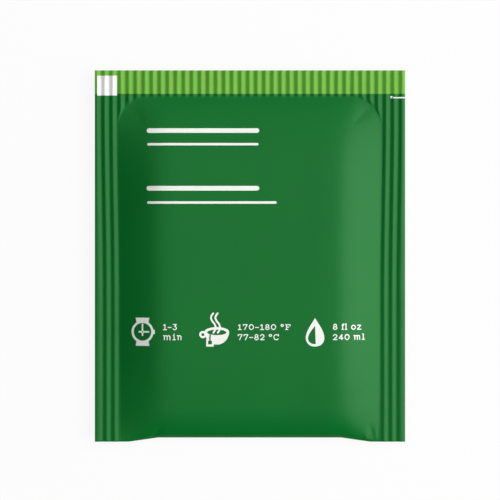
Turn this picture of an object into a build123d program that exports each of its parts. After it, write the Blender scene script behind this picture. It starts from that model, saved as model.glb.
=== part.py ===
"""A sealed tea bag sachet: crimped foil seals on three sides round a filled pillow, folded below.

X runs across the sachet and Y up its height, from the bottom fold to the cut top edge. The
sachet lies on its back with its printed side up, and Z is up from the surface beneath it. The
origin is the middle of its footprint.
"""

from build123d import *
import math
import os

# Outline of the whole sachet
WIDTH = 63.5
HEIGHT = 76.0

# Foil laminate, and the level of the seals above the surface beneath
FOIL = 0.25
SEAL_LEVEL = 2.4

# Seals: the crimped margins outside the smooth panel
LEFT_SEAL = 4.65
RIGHT_SEAL = 4.95
TOP_SEAL = 5.1
PANEL_CORNER = 6.0
SEAL_OVERLAP = 0.8

# Crimp ribs, which run up the sachet and repeat across it
RIB_PITCH = 1.645
RIB_DEPTH = 0.36
RIB_CREST_RADIUS = 0.25
RIB_OFFSET = -0.15
RIB_CLEARANCE = 0.035

# Filled pillow: how far each side bulges from the seal's middle plane, and how full it is
FRONT_BULGE = 3.6
BACK_BULGE = 2.65
SIDE_FULLNESS = 4.0
TOP_FULLNESS = 2.2
CROWN_PLACE = 0.45

# Bottom fold: flat in the corners, opened to a round edge by the filling between them
FOLD_HALF_DEPTH = 1.45
FOLD_RECESS = 0.84
FOLD_CORNER_SETBACK = 0.1
FOLD_FLAT_CORNER = 2.15
FOLD_SLANT = 5.8

# Tear nick in the right seal, a slit that ends in a round hole
NICK_FROM_TOP = 5.6
NICK_LENGTH = 2.8
NICK_WIDTH = 0.26
NICK_HOLE_DIAMETER = 0.5

# Sections that the pillow is lofted through, and the stations along each of them, as shares
# of the way from the fold to the top seal
SECTION_SPACING = 4.0
LOWER_STATIONS = (0, 0.08, 0.16, 0.25, 0.35)
UPPER_STATIONS = (0.45, 0.56, 0.67, 0.78, 0.89, 1)

# Edges that follow from the sizes above
PANEL_LEFT = LEFT_SEAL - WIDTH / 2
PANEL_RIGHT = WIDTH / 2 - RIGHT_SEAL
PANEL_TOP = HEIGHT - TOP_SEAL
EDGE_HALF_DEPTH = (RIB_DEPTH + FOIL) / 2 + RIB_CLEARANCE


def panel_outline(margin):
    """The smooth panel inside the seals, grown by the margin, with its two upper corners round."""
    width = PANEL_RIGHT - PANEL_LEFT + 2 * margin
    height = PANEL_TOP + HEIGHT / 2 + margin
    middle = (PANEL_LEFT + PANEL_RIGHT) / 2
    outline = Pos(middle, PANEL_TOP + margin - height / 2) * Rectangle(width, height)
    upper_corners = outline.vertices().group_by(Axis.Y)[-1]
    return fillet(upper_corners, PANEL_CORNER + margin)


def column(outline):
    """A column that stands on the outline and is taller than the sachet is thick."""
    reach = FRONT_BULGE + BACK_BULGE
    return Pos(0, 0, SEAL_LEVEL - reach) * extrude(outline, 2 * reach)


def crimped_sheet():
    """Both foils pressed together between toothed jaws: a zigzag with rounded crests."""
    ribs_each_side = math.ceil(WIDTH / 2 / RIB_PITCH) + 1
    teeth = []
    for rib in range(-ribs_each_side, ribs_each_side + 1):
        crest = RIB_OFFSET + rib * RIB_PITCH
        teeth.append((crest, RIB_DEPTH / 2))
        teeth.append((crest + RIB_PITCH / 2, -RIB_DEPTH / 2))
    zigzag = FilletPolyline(*teeth, radius=RIB_CREST_RADIUS)
    upper = Pos(0, FOIL / 2) * zigzag
    lower = Pos(0, -FOIL / 2) * zigzag
    ends = [Line(upper @ side, lower @ side) for side in (0, 1)]
    profile = make_face(upper.edges() + lower.edges() + ends)
    sheet = extrude(Plane.XZ * profile, -HEIGHT)
    return Pos(0, 0, SEAL_LEVEL) * sheet


def seal_frame():
    """The three crimped seals: the sheet cut to the sachet's outline, open where the panel is."""
    sachet_outline = Pos(0, HEIGHT / 2) * Rectangle(WIDTH, HEIGHT)
    margin = column(sachet_outline) - column(panel_outline(-SEAL_OVERLAP))
    return crimped_sheet() & margin


def fullness_across(x):
    """How full the pillow is at x, from 0 at the side seals to 1 in the middle."""
    middle = (PANEL_LEFT + PANEL_RIGHT) / 2
    reach = (PANEL_RIGHT - PANEL_LEFT) / 2
    return 1 - min(1, abs(x - middle) / reach) ** SIDE_FULLNESS


def fold_opening(x):
    """How far the bottom fold is open at x, from 0 in its flat corners to 1 between them."""
    from_side = min(x - PANEL_LEFT, PANEL_RIGHT - x)
    return min(1, max(0, (from_side - FOLD_FLAT_CORNER) / FOLD_SLANT))


def fold_half_depth(x):
    """Half the depth of the bottom fold at x, which is also the radius of its round edge."""
    return EDGE_HALF_DEPTH + (FOLD_HALF_DEPTH - EDGE_HALF_DEPTH) * fold_opening(x)


def fold_edge(x):
    """How far up the sachet the bottom fold's edge lies at x."""
    return FOLD_CORNER_SETBACK + (FOLD_RECESS - FOLD_CORNER_SETBACK) * fold_opening(x)


def foil_curve(x, bulge):
    """One foil at x from the fold's round edge to the top seal, bulged by the filling."""
    fold_depth = fold_half_depth(x)
    crown_depth = EDGE_HALF_DEPTH + (bulge - EDGE_HALF_DEPTH) * fullness_across(x)
    start = fold_edge(x) + fold_depth
    length = PANEL_TOP + SEAL_OVERLAP - start
    swell = crown_depth - fold_depth
    taper = crown_depth - EDGE_HALF_DEPTH
    points = []
    for place in LOWER_STATIONS:
        rise = math.sin(math.pi / 2 * place / CROWN_PLACE)
        points.append((start + length * place, fold_depth + swell * rise))
    for place in UPPER_STATIONS:
        fall = ((place - CROWN_PLACE) / (1 - CROWN_PLACE)) ** TOP_FULLNESS
        points.append((start + length * place, crown_depth - taper * fall))
    leaving_fold = (length * CROWN_PLACE, swell * math.pi / 2)
    reaching_seal = (length * (1 - CROWN_PLACE), -taper * TOP_FULLNESS)
    return Spline(*points, tangents=[leaving_fold, reaching_seal])


def pillow_section(x):
    """Outline of the filled pillow where a plane across the sachet cuts it at x."""
    front = foil_curve(x, FRONT_BULGE)
    back = mirror(foil_curve(x, BACK_BULGE), Plane.XZ)
    depth = fold_half_depth(x)
    fold = CenterArc((fold_edge(x) + depth, 0), depth, 90, 180)
    end = Line(front @ 1, back @ 1)
    section = make_face(front.edges() + fold.edges() + back.edges() + end.edges())
    return Plane.YZ.offset(x) * section


def section_places():
    """Where the pillow's sections stand: at its edges, at the fold's bends and evenly between."""
    outer = [PANEL_LEFT - SEAL_OVERLAP, PANEL_LEFT, PANEL_LEFT + FOLD_FLAT_CORNER]
    bend_left = outer[-1] + FOLD_SLANT
    bend_right = PANEL_RIGHT - FOLD_FLAT_CORNER - FOLD_SLANT
    spans = math.ceil((bend_right - bend_left) / SECTION_SPACING)
    inner = [bend_left + (bend_right - bend_left) * step / spans for step in range(spans + 1)]
    slant_left = [outer[-1] + FOLD_SLANT / 2]
    slant_right = [bend_right + FOLD_SLANT / 2]
    far = [PANEL_RIGHT - FOLD_FLAT_CORNER, PANEL_RIGHT, PANEL_RIGHT + SEAL_OVERLAP]
    return outer + slant_left + inner + slant_right + far


def pillow():
    """The panel with its filling: bulged foils that meet in the fold, cut to the panel's outline."""
    body = loft([pillow_section(x) for x in section_places()])
    return (Pos(0, 0, SEAL_LEVEL) * body) & column(panel_outline(0))


def tear_nick():
    """The cut in the right seal: a slit from the edge with a round hole at its inner end."""
    height = HEIGHT - NICK_FROM_TOP
    inner_end = WIDTH / 2 - NICK_LENGTH
    slit = Pos(WIDTH / 2, height) * Rectangle(2 * NICK_LENGTH, NICK_WIDTH)
    hole = Pos(inner_end, height) * Circle(NICK_HOLE_DIAMETER / 2)
    return column(slit + hole)


def resting_space():
    """Everything below the surface that the filling settles flat on."""
    return Pos(0, HEIGHT / 2, -BACK_BULGE) * Box(2 * WIDTH, 2 * HEIGHT, 2 * BACK_BULGE)


def sachet():
    """The whole sachet as one solid, moved so that the origin is the middle of its footprint."""
    whole = seal_frame() + pillow() - tear_nick() - resting_space()
    return Pos(0, -HEIGHT / 2, 0) * whole


os.makedirs("parts", exist_ok=True)
export_step(sachet(), "parts/sachet.step")
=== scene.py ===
"""Looks of a sealed tea bag sachet: crimped green film, white print and a plain studio.

Sizes are in millimetres until a finished mesh is scaled to metres. X runs across the sachet,
Y up it from the bottom fold to the cut top edge, and Z up from the floor. The origin is the
middle of its footprint. The "rise" of a point is its distance up from the bottom corners.
"""

import logging
import math
from dataclasses import dataclass, field
from enum import Enum
from typing import Sequence

import bmesh
import bpy
from mathutils import Matrix, Vector, noise


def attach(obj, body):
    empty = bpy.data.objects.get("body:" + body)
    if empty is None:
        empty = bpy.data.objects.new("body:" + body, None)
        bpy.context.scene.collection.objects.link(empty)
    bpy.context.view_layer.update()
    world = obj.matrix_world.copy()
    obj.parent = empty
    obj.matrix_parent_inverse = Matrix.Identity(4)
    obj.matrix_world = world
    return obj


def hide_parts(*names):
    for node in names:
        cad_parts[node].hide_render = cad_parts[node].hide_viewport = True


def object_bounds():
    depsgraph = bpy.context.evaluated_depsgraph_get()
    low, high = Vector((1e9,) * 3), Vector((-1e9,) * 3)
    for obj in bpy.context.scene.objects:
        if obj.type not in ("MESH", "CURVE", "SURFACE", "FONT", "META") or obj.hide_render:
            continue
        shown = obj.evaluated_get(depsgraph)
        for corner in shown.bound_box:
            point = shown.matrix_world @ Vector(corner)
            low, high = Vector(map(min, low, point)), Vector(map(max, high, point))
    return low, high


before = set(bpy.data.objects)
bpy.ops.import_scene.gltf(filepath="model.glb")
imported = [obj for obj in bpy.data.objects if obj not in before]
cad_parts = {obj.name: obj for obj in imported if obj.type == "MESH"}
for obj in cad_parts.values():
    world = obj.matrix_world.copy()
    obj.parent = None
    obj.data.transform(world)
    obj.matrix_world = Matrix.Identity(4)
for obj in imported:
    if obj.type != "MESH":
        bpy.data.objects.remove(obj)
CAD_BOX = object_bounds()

MM = 0.001
FULL_TURN = 2 * math.pi
BODY = "root"
CAD_NODE = "sachet"
INK_EDGE = 0.00003
FIBRE_SCALE, MOTTLE_SCALE, BLOTCH_SHARE = 9000.0, 350.0, 0.3

Point = tuple[float, float]
Path = list[Point]
Colour = tuple[float, float, float]
Element = bmesh.types.BMVert | bmesh.types.BMEdge | bmesh.types.BMFace

log = logging.getLogger("sachet")


class Side(Enum):
    """Which of the sachet's two foils a point lies on."""

    FRONT = 1
    BACK = -1


# ---- Small helpers ----


def smooth_step(value: float) -> float:
    """Eased ramp that is 0 below 0 and 1 above 1."""
    share = min(1.0, max(0.0, value))
    return share * share * (3 - 2 * share)


def round_edge(distance: float, reach: float) -> float:
    """Quarter-round ramp, upright at distance 0 and level from the reach onwards.

    Args:
        distance: How far the point lies from the edge.
        reach: How far in from the edge the rounding runs.

    Returns:
        The height, from 0 at the edge to 1.
    """
    short = 1 - min(1.0, max(0.0, distance / reach))
    return math.sqrt(1 - short * short)


def steps_between(start: float, stop: float, step: float) -> list[float]:
    """Even stations from start to stop, both included, no further apart than the step."""
    count = max(1, math.ceil((stop - start) / step))
    return [start + (stop - start) * index / count for index in range(count + 1)]


def whole(mesh: bmesh.types.BMesh) -> list[Element]:
    """All faces, edges and vertices of a mesh, as the operators take them."""
    return [*mesh.faces, *mesh.edges, *mesh.verts]


def finished_piece(name: str, mesh: bmesh.types.BMesh) -> bpy.types.Object:
    """Turns a mesh drawn in millimetres into a scene object in metres.

    Args:
        name: The piece's name.
        mesh: Its mesh, which is freed.

    Returns:
        The new object.
    """
    bmesh.ops.scale(mesh, vec=(MM, MM, MM), verts=mesh.verts)
    data = bpy.data.meshes.new(name)
    mesh.to_mesh(data)
    mesh.free()
    return link_piece(name, data)


def link_piece(name: str, data: bpy.types.Mesh) -> bpy.types.Object:
    """Puts a mesh into the scene as an object of its own.

    Args:
        name: The piece's name.
        data: Its finished mesh, in metres.

    Returns:
        The new object.
    """
    piece = bpy.data.objects.new(name, data)
    bpy.context.scene.collection.objects.link(piece)
    return piece


# ---- Form of the sachet ----


@dataclass(frozen=True)
class Crimp:
    """Vertical ribs that toothed jaws press into the seals."""

    pitch: float = 1.6455
    depth: float = 0.36
    crest_offset: float = -0.08
    crest_sharpness: float = 0.94
    shallowest_share: float = 0.72
    full_from: float = 0.8
    facets: int = 10

    def wave(self, x: float, rise_share: float) -> float:
        """Height of the rib at x, a zigzag with rounded crests that is shallower low down.

        Args:
            x: Place across the flat sheet.
            rise_share: Place up the sachet, from 0 at the fold to 1 at the top.

        Returns:
            The height above the sheet's middle plane.
        """
        turn = math.cos(FULL_TURN * (x - self.crest_offset) / self.pitch)
        zigzag = math.asin(self.crest_sharpness * turn) / math.asin(self.crest_sharpness)
        share = self.shallowest_share
        share += (1 - share) * smooth_step(rise_share / self.full_from)
        return self.depth / 2 * zigzag * share

    def columns(self, half_width: float) -> list[float]:
        """Stations across the sheet that fall on every crest and valley, and on both edges."""
        step = self.pitch / self.facets
        first = math.ceil((-half_width - self.crest_offset) / step)
        last = math.floor((half_width - self.crest_offset) / step)
        inner = [self.crest_offset + index * step for index in range(first, last + 1)]
        return [-half_width, *inner[1:-1], half_width]


@dataclass(frozen=True)
class Crease:
    """A small ridge, or a dent where its height is negative, in the front foil."""

    x: float
    rise: float
    height: float
    length: float
    breadth: float
    turn: float

    def height_at(self, x: float, rise: float) -> float:
        """Height that the crease adds at a point."""
        across, up = x - self.x, rise - self.rise
        along = across * math.cos(self.turn) + up * math.sin(self.turn)
        aside = up * math.cos(self.turn) - across * math.sin(self.turn)
        return self.height * math.exp(-((along / self.length) ** 2) - (aside / self.breadth) ** 2)


@dataclass(frozen=True)
class SachetForm:
    """Where the sachet's two foils run, worked out from its outline and its filling."""

    width: float
    height: float
    thickness: float
    seal_level: float = 2.4
    foil: float = 0.25
    crimp: Crimp = Crimp()

    left_seal: float = 4.52
    right_seal: float = 4.68
    top_seal: float = 5.08
    panel_corner: float = 6.3
    panel_blend: float = 0.3

    left_shoulder: float = 8.1
    right_shoulder: float = 7.6
    shoulder_softness: float = 1.15
    dome_share: float = -0.08
    top_slope_length: float = 20.0
    low_slope_length: float = 25.0
    low_fullness: float = 0.5
    back_bulge: float = 2.35

    fold_recess: float = 0.84
    fold_flat_corner: float = 2.1
    fold_slant: float = 5.9
    fold_round: float = 6.0
    fold_edge_round: float = 0.35

    bow: float = 0.4
    bow_starts: float = 30.0
    bow_ends: float = 68.0
    bow_margin: float = 0.85
    bow_fades: float = 20.0

    ripple: float = 0.035
    ripple_across: float = 7.0
    ripple_along: float = 13.0
    creases: tuple[Crease, ...] = (
        Crease(x=25.2, rise=2.3, height=-0.16, length=1.2, breadth=0.55, turn=1.9),
        Crease(x=24.1, rise=0.95, height=0.14, length=0.75, breadth=0.28, turn=2.4),
        Crease(x=26.1, rise=1.6, height=0.10, length=0.7, breadth=0.28, turn=1.6),
        Crease(x=-19.4, rise=1.9, height=-0.16, length=1.5, breadth=0.5, turn=0.7),
    )

    @property
    def panel_left(self) -> float:
        """Left side of the smooth panel on the flat sheet."""
        return self.left_seal - self.width / 2

    @property
    def panel_right(self) -> float:
        """Right side of the smooth panel on the flat sheet."""
        return self.width / 2 - self.right_seal

    @property
    def panel_top(self) -> float:
        """Rise of the smooth panel's upper edge."""
        return self.height - self.top_seal

    @property
    def front_bulge(self) -> float:
        """How far the filling lifts the front foil above the valleys of the seals."""
        return self.thickness - self.seal_level - self.foil / 2 + self.crimp.depth / 2

    def fold_edge(self, x: float) -> float:
        """Rise of the bottom fold at x: 0 in its flat corners, higher where it is held open."""
        from_side = min(x - self.panel_left, self.panel_right - x)
        opening = min(1.0, max(0.0, (from_side - self.fold_flat_corner) / self.fold_slant))
        return self.fold_recess * opening

    def bow_at(self, x: float, rise: float) -> float:
        """How far the filling draws the sheet inwards at a point, always towards the middle.

        Args:
            x: Place across the flat sheet.
            rise: Place up the sheet.

        Returns:
            The signed shift across, which is 0 at the cut edges.
        """
        reach = self.width / 2 - abs(x)
        edge_share = smooth_step(reach / self.bow_margin)
        inner_share = min(1.0, abs(x) / self.bow_fades)
        height_share = 1 - smooth_step((rise - self.bow_starts) / (self.bow_ends - self.bow_starts))
        return -math.copysign(self.bow * edge_share * inner_share * height_share, x)

    def panel_distances(self, x: float, rise: float) -> tuple[float, float, float]:
        """How far a point lies inside the panel.

        Args:
            x: Place across the flat sheet.
            rise: Place up the sheet.

        Returns:
            The distances from the panel's outline, from its nearer side and from its top. They
            are negative outside.
        """
        from_side = min(x - self.panel_left, self.panel_right - x)
        from_top = self.panel_top - rise
        across, up = self.panel_corner - from_side, self.panel_corner - from_top
        if across > 0 and up > 0:
            return self.panel_corner - math.hypot(across, up), from_side, from_top
        return min(from_side, from_top), from_side, from_top

    def shoulder(self, distance: float, reach: float) -> float:
        """Share of the full height at a distance from a side: a straight slope, then level."""
        soft = self.shoulder_softness
        return 1 - soft / reach * math.log1p(math.exp((reach - distance) / soft))

    def fullness(self, x: float, rise: float, from_fold: float) -> float:
        """Share of the full bulge at a point of the panel.

        Args:
            x: Place across the flat sheet.
            rise: Place up the sheet.
            from_fold: Distance up from the fold's edge at x.

        Returns:
            The share, from 0 on the panel's outline to about 1 where it is fullest.
        """
        inside, from_side, from_top = self.panel_distances(x, rise)
        if inside <= 0:
            return 0.0
        half = (self.panel_right - self.panel_left) / 2
        off_centre = (x - self.panel_left - half) / half
        sides = self.shoulder(x - self.panel_left, self.left_shoulder)
        sides *= self.shoulder(self.panel_right - x, self.right_shoulder)
        dome = 1 - self.dome_share * off_centre**2
        top = 1 - (1 - min(1.0, from_top / self.top_slope_length)) ** 2
        low = 1 - min(1.0, from_fold / self.low_slope_length)
        low = 1 - (1 - self.low_fullness) * low**2
        corner = inside / min(from_side, from_top)
        return max(0.0, sides) * dome * top * low * corner * round_edge(from_fold, self.fold_round)

    def depth_at(self, side: Side, x: float, rise: float) -> float:
        """Height above the floor of one foil's outer face.

        Args:
            side: Which foil.
            x: Place across the flat sheet.
            rise: Place up the sheet.

        Returns:
            The height.
        """
        from_fold = rise - self.fold_edge(x)
        inside = smooth_step(self.panel_distances(x, rise)[0] / self.panel_blend)
        wave = self.crimp.wave(x, rise / self.height)
        middle = self.seal_level + (1 - inside) * wave - inside * self.crimp.depth / 2
        skin = self.foil / 2 * round_edge(from_fold, self.fold_edge_round)
        full = self.fullness(x, rise, from_fold)
        if side is Side.BACK:
            return max(0.0, middle - skin - self.back_bulge * full)
        spot = Vector((x / self.ripple_across, rise / self.ripple_along, 0.0))
        ripple = self.ripple * (noise.noise(spot) - 1) * full
        creases = inside * sum(crease.height_at(x, rise) for crease in self.creases)
        fade = round_edge(from_fold, self.fold_edge_round)
        return middle + skin + self.front_bulge * full + ripple + creases * fade

    def point(self, side: Side, x: float, rise: float) -> Vector:
        """Place of a point of one foil in the row's frame.

        Args:
            side: Which foil.
            x: Place across the flat sheet.
            rise: Place up the sheet.

        Returns:
            The point, in millimetres.
        """
        across = x + self.bow_at(x, rise)
        return Vector((across, rise - self.height / 2, self.depth_at(side, x, rise)))

    def front_height(self, x: float, y: float) -> float:
        """Height of the front foil above the floor at a place in the row's frame."""
        rise = y + self.height / 2
        flat_x = x
        for _ in range(3):
            flat_x = x - self.bow_at(flat_x, rise)
        return self.depth_at(Side.FRONT, flat_x, rise)


# ---- Shader groups ----


class Tree:
    """A node tree that is filled step by step."""

    def __init__(self, tree: bpy.types.NodeTree) -> None:
        """Starts on an empty tree.

        Args:
            tree: The material's or the group's node tree.
        """
        self.tree = tree
        self.count = 0

    def add(self, kind: str, **inputs: object) -> bpy.types.Node:
        """Adds a node and fills its inputs.

        Args:
            kind: The node's type, such as "ShaderNodeMath".
            **inputs: Input names, with underscores for spaces, each with a plain value or the
                output socket to link. _0, _1 and so on name an input by its number. Names of
                the node's own settings are set on the node.

        Returns:
            The new node.
        """
        node = self.tree.nodes.new(kind)
        node.location = (self.count * 180.0, 0.0)
        self.count += 1
        for name, value in inputs.items():
            if hasattr(node, name):
                setattr(node, name, value)
                continue
            key = int(name[1:]) if name[1:].isdigit() else name.replace("_", " ")
            self.feed(node.inputs[key], value)
        return node

    def feed(self, socket: bpy.types.NodeSocket, value: object) -> None:
        """Links an output to the socket, or sets the socket's own value."""
        if isinstance(value, bpy.types.NodeSocket):
            self.tree.links.new(value, socket)
        elif isinstance(value, tuple) and len(value) == 3 and socket.type == "RGBA":
            socket.default_value = (*value, 1.0)
        else:
            socket.default_value = value

    def math(self, operation: str, *values: object) -> bpy.types.NodeSocket:
        """Adds one Math node and returns its result."""
        node = self.tree.nodes.new("ShaderNodeMath")
        node.operation = operation
        for socket, value in zip(node.inputs, values):
            self.feed(socket, value)
        return node.outputs[0]

    def mix(self, share: object, first: object, second: object) -> bpy.types.NodeSocket:
        """Mixes two colours and returns the result."""
        node = self.tree.nodes.new("ShaderNodeMix")
        node.data_type = "RGBA"
        self.feed(node.inputs[0], share)
        self.feed(node.inputs[6], first)
        self.feed(node.inputs[7], second)
        return node.outputs[2]


def new_group(name: str, numbers: dict[str, float], outputs: Sequence[str]) -> bpy.types.NodeTree:
    """Makes an empty shader group with named number sockets.

    Args:
        name: The group's name.
        numbers: Input names with their usual values.
        outputs: Output names, all plain numbers.

    Returns:
        The group's tree, with no nodes in it yet.
    """
    group = bpy.data.node_groups.new(name, "ShaderNodeTree")
    for label, value in numbers.items():
        socket = group.interface.new_socket(label, in_out="INPUT", socket_type="NodeSocketFloat")
        socket.default_value = value
    for label in outputs:
        group.interface.new_socket(label, in_out="OUTPUT", socket_type="NodeSocketFloat")
    return group


def grain_group() -> bpy.types.NodeTree:
    """Shader group for fine surface grain: a relief, a roughness change and a mottled tone."""
    group = new_group("fine grain", {"Fibre": FIBRE_SCALE, "Mottle": MOTTLE_SCALE},
                      ("Relief", "Gloss", "Tone"))
    tree = Tree(group)
    given = tree.add("NodeGroupInput")
    place = tree.add("ShaderNodeTexCoord").outputs["Object"]
    fibre = tree.add("ShaderNodeTexNoise", Vector=place, Scale=given.outputs["Fibre"], Detail=3.0)
    mottle = tree.add("ShaderNodeTexNoise", Vector=place, Scale=given.outputs["Mottle"], Detail=4.0)
    gloss = tree.math("SUBTRACT", mottle.outputs["Fac"], 0.5)
    blotch = tree.math("MULTIPLY", given.outputs["Mottle"], BLOTCH_SHARE)
    tone = tree.add("ShaderNodeTexNoise", Vector=place, Scale=blotch, Detail=5.0)
    result = tree.add("NodeGroupOutput")
    tree.feed(result.inputs["Relief"], fibre.outputs["Fac"])
    tree.feed(result.inputs["Gloss"], gloss)
    tree.feed(result.inputs["Tone"], tone.outputs["Fac"])
    return group


def field_group() -> bpy.types.NodeTree:
    """Shader group that masks a printed rectangle between four edges, with soft ink edges."""
    edges = {"Left": -1.0, "Right": 1.0, "Bottom": -1.0, "Top": 1.0, "Soft": INK_EDGE}
    group = new_group("printed field", edges, ("Mask",))
    tree = Tree(group)
    given = tree.add("NodeGroupInput")
    place = tree.add("ShaderNodeTexCoord").outputs["Object"]
    axes = tree.add("ShaderNodeSeparateXYZ", Vector=place)

    def past(value: object, edge: object) -> bpy.types.NodeSocket:
        """Adds a mask that is 1 where the value is past the edge."""
        distance = tree.math("DIVIDE", tree.math("SUBTRACT", value, edge), given.outputs["Soft"])
        node = tree.tree.nodes.new("ShaderNodeClamp")
        tree.feed(node.inputs["Value"], tree.math("ADD", distance, 0.5))
        return node.outputs[0]

    across, up = axes.outputs["X"], axes.outputs["Y"]
    mask = tree.math(
        "MULTIPLY", past(across, given.outputs["Left"]), past(given.outputs["Right"], across)
    )
    mask = tree.math("MULTIPLY", mask, past(up, given.outputs["Bottom"]))
    mask = tree.math("MULTIPLY", mask, past(given.outputs["Top"], up))
    result = tree.add("NodeGroupOutput")
    tree.feed(result.inputs["Mask"], mask)
    return group


# ---- Finishes ----


def new_material(name: str) -> tuple[bpy.types.Material, Tree, bpy.types.Node]:
    """Makes a node material with a Principled shader on its output.

    Args:
        name: The material's name.

    Returns:
        The material, its tree and its Principled shader.
    """
    material = bpy.data.materials.new(name)
    material.use_nodes = True
    material.node_tree.nodes.clear()
    tree = Tree(material.node_tree)
    shader = tree.add("ShaderNodeBsdfPrincipled")
    tree.add("ShaderNodeOutputMaterial", Surface=shader.outputs["BSDF"])
    return material, tree, shader


def mottled(
    tree: Tree, texture: bpy.types.Node, colour: object, change: float
) -> bpy.types.NodeSocket:
    """Lightens and darkens a colour a little with the grain's mottled tone.

    Args:
        tree: The material's tree.
        texture: The placed grain group.
        colour: A plain colour or a colour socket.
        change: How much the tone changes it.

    Returns:
        The mottled colour.
    """
    shade = tree.math("SUBTRACT", texture.outputs["Tone"], 0.5)
    shade = tree.math("MULTIPLY_ADD", shade, change, 1.0)
    tinted = tree.add("ShaderNodeVectorMath", operation="SCALE")
    tree.feed(tinted.inputs[0], colour)
    tree.feed(tinted.inputs["Scale"], shade)
    return tinted.outputs[0]


def add_grain(
    tree: Tree, shader: bpy.types.Node, texture: bpy.types.Node, finish: "FilmFinish | MatteFinish"
) -> None:
    """Gives a shader the grain's roughness change and relief, as strongly as a finish says.

    Args:
        tree: The material's tree.
        shader: Its Principled shader.
        texture: The placed grain group.
        finish: The finish that holds the roughness and the relief.
    """
    gloss = tree.math(
        "MULTIPLY_ADD", texture.outputs["Gloss"], finish.gloss_change, finish.roughness
    )
    tree.feed(shader.inputs["Roughness"], gloss)
    bump = tree.add("ShaderNodeBump", Strength=finish.relief, Distance=finish.relief_depth * MM,
                    Height=texture.outputs["Relief"])
    tree.feed(shader.inputs["Normal"], bump.outputs["Normal"])


@dataclass(frozen=True)
class PrintedField:
    """A rectangle of one colour printed on the film, in millimetres of the row's frame."""

    left: float
    right: float
    bottom: float
    top: float

    def mask(self, tree: Tree, group: bpy.types.NodeTree) -> bpy.types.NodeSocket:
        """Places the field's mask in a material.

        Args:
            tree: The material's tree.
            group: The shared group that masks a printed rectangle.

        Returns:
            The mask's socket.
        """
        node = tree.add("ShaderNodeGroup", node_tree=group)
        edges = {"Left": self.left, "Right": self.right, "Bottom": self.bottom, "Top": self.top}
        for label, value in edges.items():
            node.inputs[label].default_value = value * MM
        return node.outputs["Mask"]


@dataclass(frozen=True)
class FilmFinish:
    """Satin laminate film, printed green with a lighter band and a white register mark."""

    green: Colour = (0.001, 0.162, 0.022)
    band_green: Colour = (0.14, 0.43, 0.04)
    mark_white: Colour = (0.93, 0.94, 0.93)
    worn: Colour = (0.30, 0.42, 0.30)
    roughness: float = 0.42
    gloss_change: float = 0.10
    specular: float = 0.2
    tone_change: float = 0.10
    wear: float = 0.06
    relief: float = 0.10
    relief_depth: float = 0.02
    band: PrintedField = PrintedField(left=-40.0, right=40.0, bottom=33.2, top=40.0)
    mark: PrintedField = PrintedField(left=-31.24, right=-27.22, bottom=32.86, top=36.91)

    def material(
        self, grain: bpy.types.NodeTree, fields: bpy.types.NodeTree
    ) -> bpy.types.Material:
        """Builds the film's material.

        Args:
            grain: The shared grain group.
            fields: The shared group that masks a printed rectangle.

        Returns:
            The material.
        """
        material, tree, shader = new_material("printed film")
        texture = tree.add("ShaderNodeGroup", node_tree=grain)
        colour = tree.mix(self.band.mask(tree, fields), self.green, self.band_green)
        colour = mottled(tree, texture, colour, self.tone_change)
        front = tree.add("ShaderNodeAttribute", attribute_name="front")
        marked = tree.math("MULTIPLY", self.mark.mask(tree, fields), front.outputs["Fac"])
        colour = tree.mix(marked, colour, self.mark_white)
        crest = tree.add("ShaderNodeAttribute", attribute_name="crest")
        rubbed = tree.math("MULTIPLY", crest.outputs["Fac"], texture.outputs["Tone"])
        rubbed = tree.math("MULTIPLY", rubbed, self.wear)
        colour = tree.mix(rubbed, colour, self.worn)
        tree.feed(shader.inputs["Base Color"], colour)
        shader.inputs["Specular IOR Level"].default_value = self.specular
        add_grain(tree, shader, texture, self)
        return material


@dataclass(frozen=True)
class MatteFinish:
    """A plain coloured finish with fine grain: white ink, green ink or bare paper."""

    name: str
    colour: Colour
    roughness: float
    specular: float = 0.3
    gloss_change: float = 0.10
    tone_change: float = 0.08
    relief: float = 0.15
    relief_depth: float = 0.01

    def material(self, grain: bpy.types.NodeTree) -> bpy.types.Material:
        """Builds the finish.

        Args:
            grain: The shared grain group.

        Returns:
            The material.
        """
        material, tree, shader = new_material(self.name)
        texture = tree.add("ShaderNodeGroup", node_tree=grain)
        colour = mottled(tree, texture, self.colour, self.tone_change)
        tree.feed(shader.inputs["Base Color"], colour)
        shader.inputs["Specular IOR Level"].default_value = self.specular
        add_grain(tree, shader, texture, self)
        return material


# ---- The film ----


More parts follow.
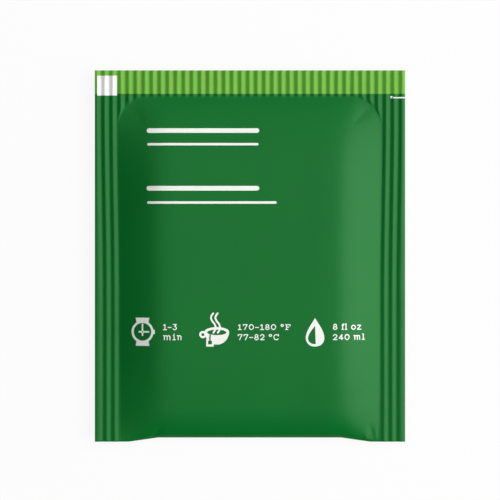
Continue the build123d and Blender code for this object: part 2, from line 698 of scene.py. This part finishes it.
@dataclass
class Film:
    """The sachet's laminate: both foils, their cut edges and the bottom fold, as one shell."""

    form: SachetForm
    body_step: float = 1.25
    corner_step: float = 0.32
    corner_zone: float = 16.0
    fold_rows: int = 12
    nick_from_top: float = 5.58
    nick_length: float = 2.75
    nick_width: float = 0.26
    nick_hole: float = 0.26
    nick_hole_lift: float = 0.1
    sharp_angle: float = math.radians(50)
    crest_reach: float = 0.35
    rub_from: float = 0.5

    def rows(self) -> list[float]:
        """Stations up the sheet from the fold: close at its round edge and at the top corners."""
        form = self.form
        quarter = math.pi / 2 / self.fold_rows
        nose = [form.fold_round * (1 - math.cos(quarter * row)) for row in range(self.fold_rows)]
        corner = form.height - self.corner_zone
        body = steps_between(form.fold_round, corner, self.body_step)
        top = steps_between(corner, form.height, self.corner_step)
        return nose + body + top[1:]

    def shell(self) -> bmesh.types.BMesh:
        """Builds the closed shell, in millimetres, with wall faces under material 1.

        Returns:
            The shell, which also carries the layers "crest" and "front".
        """
        form = self.form
        columns, rows = form.crimp.columns(form.width / 2), self.rows()
        shell = bmesh.new()
        for name in ("crest", "front"):
            shell.verts.layers.float.new(name)
        crest, front = (shell.verts.layers.float[name] for name in ("crest", "front"))
        across, up = len(columns) - 1, len(rows) - 1
        bmesh.ops.create_grid(shell, x_segments=across, y_segments=up, size=0.5)
        back = set(shell.verts)
        bmesh.ops.extrude_face_region(shell, geom=whole(shell), use_keep_orig=True)
        for vert in shell.verts:
            side = Side.BACK if vert in back else Side.FRONT
            x = columns[round((vert.co.x + 0.5) * across)]
            station = rows[round((vert.co.y + 0.5) * up)]
            edge = form.fold_edge(x)
            rise = edge + station * (1 - edge / form.height)
            vert[crest] = self.crest_at(x, rise)
            vert[front] = 1.0 if side is Side.FRONT else 0.0
            vert.co = form.point(side, x, rise)
        for face in shell.faces:
            is_wall = len({vert in back for vert in face.verts}) == 2
            at_fold = all(vert.co.y < self.wall_floor for vert in face.verts)
            face.material_index = 1 if is_wall and not at_fold else 0
            face.smooth = True
        bmesh.ops.recalc_face_normals(shell, faces=shell.faces)
        return shell

    @property
    def wall_floor(self) -> float:
        """Height up the sachet below which the shell's wall is the fold, not a cut edge."""
        return self.form.fold_recess * 1.05 - self.form.height / 2

    def crest_at(self, x: float, rise: float) -> float:
        """How exposed a point is to rubbing: 1 on rib crests and cut edges, 0 on flat film."""
        form = self.form
        inside = form.panel_distances(x, rise)[0]
        wave = form.crimp.wave(x, 1.0) / form.crimp.depth * 2
        rib = smooth_step((wave - self.rub_from) / (1 - self.rub_from)) if inside < 0 else 0.0
        to_edge = min(form.width / 2 - abs(x), form.height - rise)
        return max(rib, 1 - smooth_step(to_edge / self.crest_reach))

    def nick_cutter(self) -> bpy.types.Object:
        """Builds the blade that cuts the tear nick: a thin slab with a round peg at its end."""
        form = self.form
        blade = bmesh.new()
        peg_height, slab_height = 4 * form.thickness, 3.6 * form.thickness
        at_y = form.height / 2 - self.nick_from_top
        end_x = form.width / 2 - self.nick_length
        bmesh.ops.create_cone(
            blade, cap_ends=True, segments=24, radius1=self.nick_hole, radius2=self.nick_hole,
            depth=peg_height, matrix=Matrix.Translation((end_x, at_y + self.nick_hole_lift, 0)),
        )
        slab = Matrix.Translation((end_x + self.nick_length, at_y, 0)) @ Matrix.Diagonal(
            (2 * self.nick_length, self.nick_width, slab_height, 1)
        )
        bmesh.ops.create_cube(blade, size=1.0, matrix=slab)
        return finished_piece("nick_blade", blade)

    def cut_nick(self, piece: bpy.types.Object) -> None:
        """Cuts the tear nick through the right seal and keeps the result as the piece's mesh."""
        blade = self.nick_cutter()
        cut = piece.modifiers.new("tear nick", "BOOLEAN")
        cut.operation = "DIFFERENCE"
        cut.object = blade
        cut.solver = "MANIFOLD"
        graph = bpy.context.evaluated_depsgraph_get()
        uncut = piece.data
        piece.data = bpy.data.meshes.new_from_object(piece.evaluated_get(graph))
        piece.modifiers.clear()
        bpy.data.meshes.remove(uncut)
        bpy.data.objects.remove(blade)

    def build(self, finishes: Sequence[bpy.types.Material]) -> bpy.types.Object:
        """Builds the film, dresses it and lets it stand for the CAD node.

        Args:
            finishes: The film's and the cut edge's materials.

        Returns:
            The finished piece.
        """
        piece = finished_piece("film", self.shell())
        for finish in finishes:
            piece.data.materials.append(finish)
        self.cut_nick(piece)
        piece.data.name = "film"
        piece.data.set_sharp_from_angle(angle=self.sharp_angle)
        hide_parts(CAD_NODE)
        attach(piece, BODY)
        return piece


# ---- The print ----


def arc_path(centre: Point, radii: Point, start: float, stop: float, step: float = 15.0) -> Path:
    """Points along an elliptical arc.

    Args:
        centre: Its centre.
        radii: Its radii across and up.
        start: First angle in degrees, counted anticlockwise from the right.
        stop: Last angle in degrees, which may be the smaller one.
        step: Most degrees between two points.

    Returns:
        The points, both ends included.
    """
    count = max(2, math.ceil(abs(stop - start) / step))
    angles = (math.radians(start + (stop - start) * index / count) for index in range(count + 1))
    (x, y), (across, up) = centre, radii
    return [(x + across * math.cos(angle), y + up * math.sin(angle)) for angle in angles]


def moved(path: Path, place: Point) -> Path:
    """The same path with its origin at a place."""
    return [(place[0] + x, place[1] + y) for x, y in path]


@dataclass
class Ink:
    """A layer of ink that is drawn flat, in millimetres, and then laid on the front foil."""

    name: str
    form: SachetForm
    finish: bpy.types.Material
    lift: float = 0.018
    sink: float = 0.03
    overlap_step: float = 0.0012
    overlap_levels: int = 7
    cell: float = 0.5
    round_end_steps: tuple[float, ...] = (0.5, 0.85, 1.0)
    blunt_share: float = 0.02
    flat: bmesh.types.BMesh = field(default_factory=bmesh.new)
    shapes: int = 0

    def _raise_new(self, before: set[bmesh.types.BMVert]) -> None:
        """Puts the newest shape on a level of its own, so that overlaps don't coincide."""
        level = self.overlap_step * (self.shapes % self.overlap_levels)
        self.shapes += 1
        for vert in self.flat.verts:
            if vert not in before:
                vert.co.z = level

    def ribbon(self, path: Path, width: float) -> None:
        """Draws a stroke of even width with round ends along a path.

        Args:
            path: The stroke's centre line.
            width: Its width.
        """
        before = set(self.flat.verts)
        centres = [Vector((x, y, 0.0)) for x, y in path]
        halves = [width / 2] * len(centres)
        first, last = centres[0], centres[-1]
        backward, forward = (first - centres[1]).normalized(), (last - centres[-2]).normalized()
        for share in self.round_end_steps:
            reach = width / 2 * share
            half = width / 2 * math.sqrt(1 - share**2) + self.blunt_share * width
            centres = [first + backward * reach, *centres, last + forward * reach]
            halves = [half, *halves, half]
        edge = None
        for index, (centre, half) in enumerate(zip(centres, halves)):
            ahead = centres[min(index + 1, len(centres) - 1)] - centre
            behind = centre - centres[max(index - 1, 0)]
            along = (ahead.normalized() + behind.normalized()).normalized()
            aside = Vector((-along.y, along.x, 0.0)) * half
            if edge is None:
                verts = [self.flat.verts.new(centre + aside), self.flat.verts.new(centre - aside)]
                edge = self.flat.edges.new(verts)
                continue
            grown = bmesh.ops.extrude_edge_only(self.flat, edges=[edge])["geom"]
            edge = next(item for item in grown if isinstance(item, bmesh.types.BMEdge))
            left, right = edge.verts
            if (left.co - verts[0].co).length > (left.co - verts[1].co).length:
                left, right = right, left
            left.co, right.co = centre + aside, centre - aside
            verts = [left, right]
        self._raise_new(before)

    def between(self, outer: Path, inner: Path) -> None:
        """Draws the area between two closed outlines with as many points each.

        Args:
            outer: The outer outline.
            inner: The hole's outline, in the same turning direction.
        """
        before = set(self.flat.verts)
        edges = []
        for outline in (outer, inner):
            loop = [self.flat.verts.new((x, y, 0.0)) for x, y in outline]
            edges += [self.flat.edges.new((loop[i - 1], loop[i])) for i in range(len(loop))]
        bmesh.ops.bridge_loops(self.flat, edges=edges)
        self._raise_new(before)

    def ring(self, centre: Point, radii: Point, width: float, points: int = 40) -> None:
        """Draws a closed oval stroke.

        Args:
            centre: Its centre.
            radii: Radii of its centre line.
            width: The stroke's width.
            points: Points around it.
        """
        outlines = []
        for side in (1, -1):
            grown = (radii[0] + side * width / 2, radii[1] + side * width / 2)
            outlines.append(arc_path(centre, grown, 0, 360, 360 / points)[:-1])
        self.between(*outlines)

    def area(self, outline: Path) -> None:
        """Fills a closed outline."""
        before = set(self.flat.verts)
        self.flat.faces.new([self.flat.verts.new((x, y, 0.0)) for x, y in outline])
        self._raise_new(before)

    def _cut_in_cells(self) -> None:
        """Cuts the flat shapes by a grid of lines, so that they can follow a curved foil."""
        for axis in (0, 1):
            values = [vert.co[axis] for vert in self.flat.verts]
            for place in steps_between(min(values), max(values), self.cell)[1:-1]:
                point, normal = Vector((0, 0, 0)), Vector((0, 0, 0))
                point[axis], normal[axis] = place, 1.0
                bmesh.ops.bisect_plane(
                    self.flat, geom=whole(self.flat), plane_co=point, plane_no=normal
                )

    def lay(self) -> bpy.types.Object:
        """Gives the flat shapes their thickness, lays them on the foil and makes the piece.

        Returns:
            The finished piece.
        """
        self._cut_in_cells()
        flat = self.flat
        bmesh.ops.recalc_face_normals(flat, faces=flat.faces)
        lower = set(flat.verts)
        bmesh.ops.extrude_face_region(flat, geom=whole(flat), use_keep_orig=True)
        for vert in flat.verts:
            ground = self.form.front_height(vert.co.x, vert.co.y)
            vert.co.z = ground + (-self.sink if vert in lower else self.lift + vert.co.z)
        bmesh.ops.recalc_face_normals(flat, faces=flat.faces)
        piece = finished_piece(self.name, flat)
        piece.data.materials.append(self.finish)
        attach(piece, BODY)
        return piece


@dataclass
class Lettering:
    """Thin slab-serif figures and unit letters, drawn as strokes."""

    weight: float = 0.19
    gap: float = 0.18

    def glyph(self, symbol: str) -> tuple[float, list[Path]]:
        """Strokes of one character, with its capital height as 1.

        Args:
            symbol: The character.

        Returns:
            Its width and its strokes.
        """
        low, high, mid = 0.08, 0.92, 0.5
        x_high = 0.74
        shapes: dict[str, tuple[float, list[Path]]] = {
            "0": (0.84, [arc_path((0.42, mid), (0.33, 0.42), 0, 360)]),
            "1": (0.62, [[(0.10, 0.76), (0.32, high), (0.32, low)], [(0.08, low), (0.56, low)]]),
            "2": (0.76, [arc_path((0.38, 0.66), (0.28, 0.26), 170, -38)
                         + [(0.10, low), (0.68, low)]]),
            "3": (0.72, [[(0.10, high), (0.60, high), (0.34, 0.58)]
                         + arc_path((0.34, 0.33), (0.28, 0.25), 90, -150)]),
            "4": (0.76, [[(0.52, low), (0.52, high), (0.08, 0.30), (0.70, 0.30)]]),
            "7": (0.76, [[(0.08, 0.74), (0.08, high), (0.68, high), (0.30, low)]]),
            "8": (0.74, [arc_path((0.37, 0.71), (0.22, 0.21), 0, 360),
                         arc_path((0.37, 0.29), (0.28, 0.21), 0, 360)]),
            "-": (0.60, [[(0.05, 0.44), (0.55, 0.44)]]),
            "°": (0.54, [arc_path((0.27, 0.78), (0.19, 0.16), 0, 360)]),
            "F": (0.88, [[(0.24, low), (0.24, high)], [(0.08, high), (0.80, high), (0.80, 0.72)],
                         [(0.24, mid), (0.58, mid)], [(0.08, low), (0.44, low)]]),
            "C": (0.90, [arc_path((0.46, mid), (0.38, 0.42), 42, 318),
                         [(0.78, 0.68), (0.78, high)]]),
            "f": (0.50, [[(0.20, low)] + arc_path((0.36, 0.78), (0.16, 0.2), 180, 40),
                         [(0.06, x_high), (0.44, x_high)], [(0.06, low), (0.36, low)]]),
            "l": (0.42, [[(0.08, 0.98), (0.22, 0.98), (0.22, low)], [(0.06, low), (0.40, low)]]),
            "o": (0.74, [arc_path((0.37, 0.41), (0.29, 0.33), 0, 360)]),
            "z": (0.66, [[(0.08, x_high), (0.58, x_high), (0.08, low), (0.60, low)]]),
            "i": (0.42, [[(0.08, x_high), (0.22, x_high), (0.22, low)], [(0.06, low), (0.40, low)],
                         [(0.20, 0.98), (0.24, 0.98)]]),
            "n": (0.86, self.arches(1)),
            "m": (1.20, self.arches(2)),
        }
        return shapes[symbol]

    def arches(self, count: int) -> list[Path]:
        """Strokes of an n or an m, which have one arch or two."""
        low, top, pitch = 0.08, 0.74, 0.40
        strokes = [[(0.06, top), (0.20, top), (0.20, low)]]
        for index in range(count):
            start = 0.20 + pitch * index
            arch = arc_path((start + pitch / 2, top - 0.2), (pitch / 2, 0.2), 180, 0)
            strokes.append(arch + [(start + pitch, low)])
        return strokes

    def write(self, ink: Ink, text: str, span: Point, base: float, height: float) -> None:
        """Writes a short text that fills a span exactly.

        Args:
            ink: The ink layer.
            text: The characters.
            span: Its left and right ends.
            base: Its base line.
            height: Its capital height.
        """
        glyphs = [self.glyph(symbol) for symbol in text]
        natural = sum(width for width, _ in glyphs) + self.gap * (len(glyphs) - 1)
        stretch = (span[1] - span[0]) / natural
        left = 0.0
        for width, strokes in glyphs:
            for stroke in strokes:
                placed = [(span[0] + (left + x) * stretch, base + y * height) for x, y in stroke]
                for ends in zip(placed, placed[1:]):
                    ink.ribbon(list(ends), self.weight)
            left += width + self.gap


@dataclass
class Print:
    """The brewing signs, their figures and the plain bars printed on the front foil."""

    form: SachetForm
    white: bpy.types.Material
    green: bpy.types.Material
    letters: Lettering = field(default_factory=Lettering)
    watch: Point = (-21.92, -15.44)
    cup: Point = (-6.74, -15.36)
    drop: Point = (13.23, -12.59)

    def watch_sign(self) -> Ink:
        """Draws a wrist watch: strap, case, crown, hands and hub."""
        ink = Ink("watch_sign", self.form, self.white)
        x, y = self.watch
        case, strap, hand = 2.04, 1.42, 0.34
        ink.ring(self.watch, (case, case), 0.48, 48)
        for side, reach in ((1, 2.88), (-1, 2.86)):
            turns = [math.radians(angle) for angle in range(36, -37, -8)]
            foot = [(x + case * math.sin(t), y + side * case * math.cos(t)) for t in turns]
            ink.area([(x - strap, y + side * reach), (x + strap, y + side * reach), *foot])
        crown = [(2.25, 0.5), (2.55, 0.42), (2.55, -0.42), (2.25, -0.5)]
        ink.area(moved(crown, self.watch))
        for start, end in (((0, 0.3), (0, 1.55)), ((0, -0.3), (0, -0.7)),
                           ((0.3, 0), (1.25, 0)), ((-0.3, 0), (-0.68, 0))):
            ink.ribbon(moved([start, end], self.watch), hand)
        ink.ring(self.watch, (0.25, 0.25), 0.18, 20)
        return ink

    def cup_sign(self) -> Ink:
        """Draws a steaming cup with a handle and the square tag of a tea bag."""
        ink = Ink("cup_sign", self.form, self.white)
        x, y = self.cup
        rim, opening, bowl_depth = (2.5, 0.92), (1.95, 0.56), 2.66
        ink.between(arc_path((x, y), rim, 0, 360, 9)[:-1],
                    arc_path((x - 0.03, y - 0.16), opening, 0, 360, 9)[:-1])
        bowl = arc_path((x, y), (rim[0], bowl_depth), 180, 360, 9)
        ink.area(bowl + arc_path((x, y), rim, 360, 180, 9)[1:-1])
        ink.ring((x - 2.85, y - 0.6), (0.52, 0.52), 0.44, 24)
        curl = [(-0.75, 3.7), (-1.1, 3.25), (-1.22, 2.75), (-0.98, 2.2), (-0.5, 1.6),
                (-0.25, 1.0), (-0.36, 0.3), (-0.7, -0.2)]
        for shift in (0.0, 0.9):
            ink.ribbon(moved(curl, (x + shift, y)), 0.38)
        tag = [(-2.17, -1.54), (-0.61, -1.54), (-0.61, -3.05), (-2.17, -3.05)]
        ink.area(moved(tag, self.cup))
        return ink

    def tag_print(self) -> Ink:
        """Draws the tag's green centre and its string, over the white cup."""
        ink = Ink("tag_print", self.form, self.green, lift=0.034)
        centre = [(-1.79, -1.87), (-1.01, -1.87), (-1.01, -2.6), (-1.79, -2.6)]
        string = [(-1.36, -0.72), (-1.42, -1.3), (-1.38, -1.87)]
        ink.area(moved(centre, self.cup))
        ink.ribbon(moved(string, self.cup), 0.28)
        return ink

    def drop_path(self, apex: Point, half: Point, power: float) -> Path:
        """Outline of a water drop below its apex.

        Args:
            apex: Its point.
            half: Half its width and half its height.
            power: How slender its upper part is.

        Returns:
            The closed outline, which starts at the apex.
        """
        turns = [math.radians(angle) for angle in range(0, 360, 8)]
        return [(apex[0] + half[0] * math.sin(t) * math.sin(t / 2) ** power,
                 apex[1] - half[1] * (1 - math.cos(t))) for t in turns]

    def drop_sign(self) -> Ink:
        """Draws a drop that is filled on its right half."""
        ink = Ink("drop_sign", self.form, self.white)
        outer = self.drop_path(self.drop, (2.6, 2.91), 1.3)
        inner = self.drop_path((self.drop[0], self.drop[1] - 1.6), (1.93, 1.86), 1.2)
        ink.between(outer, inner)
        ink.area(inner[:len(inner) // 2 + 1])
        return ink

    def figures(self) -> Ink:
        """Writes the time, the temperatures and the volumes, with their units."""
        ink = Ink("brewing_figures", self.form, self.white)
        rows = (
            ("1-3", (-17.7, -14.85), -15.07, 1.27), ("min", (-17.7, -13.67), -17.12, 1.25),
            ("170-180", (-2.49, 5.32), -15.03, 1.18), ("°F", (6.2, 8.27), -15.03, 1.18),
            ("77-82", (-2.49, 2.97), -17.11, 1.24), ("°C", (3.8, 5.93), -17.11, 1.24),
            ("8", (16.84, 17.79), -15.01, 1.24), ("fl", (18.65, 19.74), -15.01, 1.24),
            ("oz", (20.6, 22.69), -15.01, 1.24), ("240", (16.84, 20.29), -17.09, 1.22),
            ("ml", (21.11, 23.38), -17.09, 1.22),
        )
        for text, span, base, height in rows:
            self.letters.write(ink, text, span, base, height)
        return ink

    def bars(self) -> Ink:
        """Draws four plain bars in the upper part of the panel."""
        ink = Ink("plain_bars", self.form, self.white)
        for left, right, level, width in ((-20.6, 1.4, 25.6, 0.95), (-20.7, 1.5, 22.8, 0.5),
                                          (-20.6, 1.4, 13.8, 0.95), (-20.7, 5.2, 10.9, 0.5)):
            ink.ribbon([(left, level), (right, level)], width)
        return ink

    def build(self) -> list[bpy.types.Object]:
        """Lays every print on the foil.

        Returns:
            The finished pieces.
        """
        inks = (self.watch_sign(), self.cup_sign(), self.tag_print(), self.drop_sign(),
                self.figures(), self.bars())
        return [ink.lay() for ink in inks]


# ---- The studio ----


@dataclass(frozen=True)
class Softbox:
    """A square studio light that faces the sachet."""

    name: str
    azimuth: float
    off_vertical: float
    distance: float
    size: float
    share: float

    def build(self) -> bpy.types.Object:
        """Hangs the light; its share is the part of a white card's brightness that it gives."""
        azimuth, tilt = math.radians(self.azimuth), math.radians(self.off_vertical)
        ray = Vector((math.sin(tilt) * math.cos(azimuth), math.sin(tilt) * math.sin(azimuth),
                      math.cos(tilt)))
        data = bpy.data.lights.new(self.name, "AREA")
        data.shape = "SQUARE"
        data.size = self.size
        data.energy = self.share * math.pi**2 * self.distance**2
        lamp = bpy.data.objects.new(self.name, data)
        lamp.location = ray * self.distance
        lamp.rotation_euler = ray.to_track_quat("Z", "Y").to_euler()
        bpy.context.scene.collection.objects.link(lamp)
        return lamp


@dataclass
class Studio:
    """Plain pale floor, soft lights and a camera that looks straight down."""

    floor_side: float = 8.0
    floor_drop: float = 0.00003
    floor_tone: Colour = (0.9, 0.9, 0.9)
    lit_share: float = 0.1
    camera_height: float = 0.571
    camera_rise: float = 0.00124
    lens: float = 200.0
    sensor: float = 36.0
    ambient: float = 0.015
    lights: tuple[Softbox, ...] = (
        Softbox("right softbox", 4.0, 56.0, 1.1, 1.45, 1.82),
        Softbox("overhead softbox", 110.0, 9.0, 1.0, 1.25, 0.4),
    )

    def seen_white(self, tree: Tree) -> bpy.types.NodeSocket:
        """Mask of the rays that show the floor as background: camera, glossy, transmission."""
        path = tree.add("ShaderNodeLightPath")
        seen = tree.math("MAXIMUM", path.outputs["Is Camera Ray"], path.outputs["Is Glossy Ray"])
        return tree.math("MAXIMUM", seen, path.outputs["Is Transmission Ray"])

    def floor(self) -> bpy.types.Object:
        """Builds the floor, which shows nearly white and keeps a faint shadow."""
        sheet = bmesh.new()
        bmesh.ops.create_grid(sheet, x_segments=2, y_segments=2, size=self.floor_side / 2)
        bmesh.ops.translate(sheet, vec=(0.0, 0.0, -self.floor_drop), verts=sheet.verts)
        data = bpy.data.meshes.new("floor")
        sheet.to_mesh(data)
        sheet.free()
        material = bpy.data.materials.new("pale floor")
        material.use_nodes = True
        material.node_tree.nodes.clear()
        tree = Tree(material.node_tree)
        matte = tree.add("ShaderNodeBsdfDiffuse", Color=self.floor_tone)
        white = tree.add("ShaderNodeEmission", Color=(1.0, 1.0, 1.0), Strength=1.0)
        share = tree.math("MULTIPLY", self.seen_white(tree), 1 - self.lit_share)
        mix = tree.add("ShaderNodeMixShader", _0=share, _1=matte.outputs[0], _2=white.outputs[0])
        tree.add("ShaderNodeOutputMaterial", Surface=mix.outputs[0])
        data.materials.append(material)
        piece = link_piece("floor", data)
        return piece

    def world(self) -> bpy.types.World:
        """Sets a dim room that shows white to the camera."""
        room = bpy.data.worlds.new("room")
        room.use_nodes = True
        room.node_tree.nodes.clear()
        tree = Tree(room.node_tree)
        path = tree.add("ShaderNodeLightPath")
        seen = path.outputs["Is Camera Ray"]
        level = tree.math("MULTIPLY_ADD", seen, 1 - self.ambient, self.ambient)
        light = tree.add("ShaderNodeBackground", Color=(1.0, 1.0, 1.0), Strength=level)
        tree.add("ShaderNodeOutputWorld", Surface=light.outputs[0])
        bpy.context.scene.world = room
        return room

    def camera(self) -> bpy.types.Object:
        """Sets the camera above the sachet."""
        data = bpy.data.cameras.new("camera")
        data.lens = self.lens
        data.sensor_width = self.sensor
        eye = bpy.data.objects.new("camera", data)
        eye.location = (0.0, self.camera_rise, self.camera_height)
        bpy.context.scene.collection.objects.link(eye)
        bpy.context.scene.camera = eye
        return eye

    def build(self) -> None:
        """Sets up the floor, the lights, the world and the camera."""
        self.floor()
        self.world()
        self.camera()
        for light in self.lights:
            light.build()
        bpy.context.scene.view_settings.view_transform = "Standard"


def main() -> None:
    """Builds the sachet and its studio, and reports each piece."""
    logging.basicConfig(level=logging.INFO, format="%(name)s: %(message)s")
    low, high = (Vector(corner) / MM for corner in CAD_BOX)
    form = SachetForm(width=high.x - low.x, height=high.y - low.y, thickness=high.z - low.z)
    grain, fields = grain_group(), field_group()
    laminate = FilmFinish().material(grain, fields)
    paper = MatteFinish("cut edge", (0.16, 0.36, 0.13), 0.6).material(grain)
    white = MatteFinish("white ink", (0.96, 1.0, 0.94), 0.45).material(grain)
    film = Film(form).build((laminate, paper))
    for piece in (film, *Print(form, white, laminate).build()):
        log.info("%s: %d faces", piece.name, len(piece.data.polygons))
    Studio().build()


if __name__ == "__main__":
    main()
